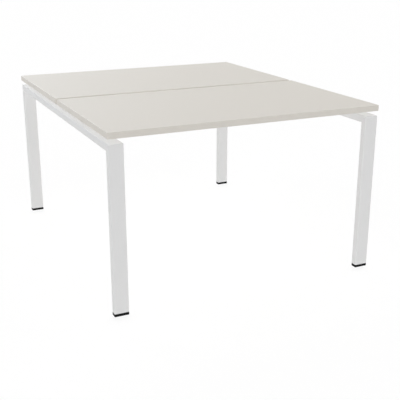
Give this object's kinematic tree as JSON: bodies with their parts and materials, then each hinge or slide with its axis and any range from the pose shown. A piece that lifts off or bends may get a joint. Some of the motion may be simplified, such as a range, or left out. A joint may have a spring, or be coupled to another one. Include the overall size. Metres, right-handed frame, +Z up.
{
  "type": "benching desk",
  "caption": "Rectangular benching desk for people sitting face to face: separate pale tops on spacers over white inverted-U end frames of flat tube, with black levelling feet.",
  "frame": {"origin": "on the floor under the middle of the desk", "axes": "+X to the right of the person at the front, +Y from the front person to the rear person, +Z up"},
  "size_m": [1.2, 1.42, 0.735],
  "materials": {
    "melamine": "off-white melamine-faced chipboard, fine matt texture",
    "edging": "thin ABS edge band in the colour of the top, arrises rounded",
    "powder_coat": "white powder coat on steel tube, fine satin texture",
    "black_plastic": "black moulded plastic, matt",
    "zinc_steel": "bright zinc-plated steel",
    "rubber": "dark rubber"
  },
  "bodies": {
    "desk": {"front_top_board": "melamine", "front_top_outer_band": "edging", "front_top_inner_band": "edging", "front_top_left_band": "edging", "front_top_right_band": "edging", "front_beam": "powder_coat", "front_beam_bumper": "rubber", "rear_top_board": "melamine", "rear_top_outer_band": "edging", "rear_top_inner_band": "edging", "rear_top_left_band": "edging", "rear_top_right_band": "edging", "rear_beam": "powder_coat", "rear_beam_bumper": "rubber", "left_frame_rail": "powder_coat", "left_front_leg": "powder_coat", "left_front_foot_plug": "black_plastic", "left_front_nut_plate": "zinc_steel", "left_front_outer_spacer": "powder_coat", "left_front_outer_screw": "zinc_steel", "left_front_outer_bolt": "zinc_steel", "left_front_inner_spacer": "powder_coat", "left_front_inner_screw": "zinc_steel", "left_front_inner_bolt": "zinc_steel", "left_rear_leg": "powder_coat", "left_rear_foot_plug": "black_plastic", "left_rear_nut_plate": "zinc_steel", "left_rear_outer_spacer": "powder_coat", "left_rear_outer_screw": "zinc_steel", "left_rear_outer_bolt": "zinc_steel", "left_rear_inner_spacer": "powder_coat", "left_rear_inner_screw": "zinc_steel", "left_rear_inner_bolt": "zinc_steel", "right_frame_rail": "powder_coat", "right_front_leg": "powder_coat", "right_front_foot_plug": "black_plastic", "right_front_nut_plate": "zinc_steel", "right_front_outer_spacer": "powder_coat", "right_front_outer_screw": "zinc_steel", "right_front_outer_bolt": "zinc_steel", "right_front_inner_spacer": "powder_coat", "right_front_inner_screw": "zinc_steel", "right_front_inner_bolt": "zinc_steel", "right_rear_leg": "powder_coat", "right_rear_foot_plug": "black_plastic", "right_rear_nut_plate": "zinc_steel", "right_rear_outer_spacer": "powder_coat", "right_rear_outer_screw": "zinc_steel", "right_rear_outer_bolt": "zinc_steel", "right_rear_inner_spacer": "powder_coat", "right_rear_inner_screw": "zinc_steel", "right_rear_inner_bolt": "zinc_steel"},
    "left_front_pad": {"left_front_foot_pad": "black_plastic"},
    "left_front_stud": {"left_front_foot_stud": "zinc_steel"},
    "left_rear_pad": {"left_rear_foot_pad": "black_plastic"},
    "left_rear_stud": {"left_rear_foot_stud": "zinc_steel"},
    "right_front_pad": {"right_front_foot_pad": "black_plastic"},
    "right_front_stud": {"right_front_foot_stud": "zinc_steel"},
    "right_rear_pad": {"right_rear_foot_pad": "black_plastic"},
    "right_rear_stud": {"right_rear_foot_stud": "zinc_steel"}
  },
  "joints": [
    {"name": "left_front_pad_slide", "type": "slide", "parent": "desk", "child": "left_front_pad", "axis": [0, 0, -1], "range_m": [0, 0.015]},
    {"name": "left_front_stud_turn", "type": "hinge", "parent": "left_front_pad", "child": "left_front_stud", "pos_m": [-0.568, -0.693, 0], "axis": [0, 0, -1], "range_deg": [0, 3600]},
    {"name": "left_rear_pad_slide", "type": "slide", "parent": "desk", "child": "left_rear_pad", "axis": [0, 0, -1], "range_m": [0, 0.015]},
    {"name": "left_rear_stud_turn", "type": "hinge", "parent": "left_rear_pad", "child": "left_rear_stud", "pos_m": [-0.568, 0.693, 0], "axis": [0, 0, -1], "range_deg": [0, 3600]},
    {"name": "right_front_pad_slide", "type": "slide", "parent": "desk", "child": "right_front_pad", "axis": [0, 0, -1], "range_m": [0, 0.015]},
    {"name": "right_front_stud_turn", "type": "hinge", "parent": "right_front_pad", "child": "right_front_stud", "pos_m": [0.568, -0.693, 0], "axis": [0, 0, -1], "range_deg": [0, 3600]},
    {"name": "right_rear_pad_slide", "type": "slide", "parent": "desk", "child": "right_rear_pad", "axis": [0, 0, -1], "range_m": [0, 0.015]},
    {"name": "right_rear_stud_turn", "type": "hinge", "parent": "right_rear_pad", "child": "right_rear_stud", "pos_m": [0.568, 0.693, 0], "axis": [0, 0, -1], "range_deg": [0, 3600]}
  ],
  "couplings": [
    {"joint": "left_front_stud_turn", "follows": "left_front_pad_slide", "rad_per_m": 4188.8},
    {"joint": "left_rear_stud_turn", "follows": "left_rear_pad_slide", "rad_per_m": 4188.8},
    {"joint": "right_front_stud_turn", "follows": "right_front_pad_slide", "rad_per_m": 4188.8},
    {"joint": "right_rear_stud_turn", "follows": "right_rear_pad_slide", "rad_per_m": 4188.8}
  ]
}
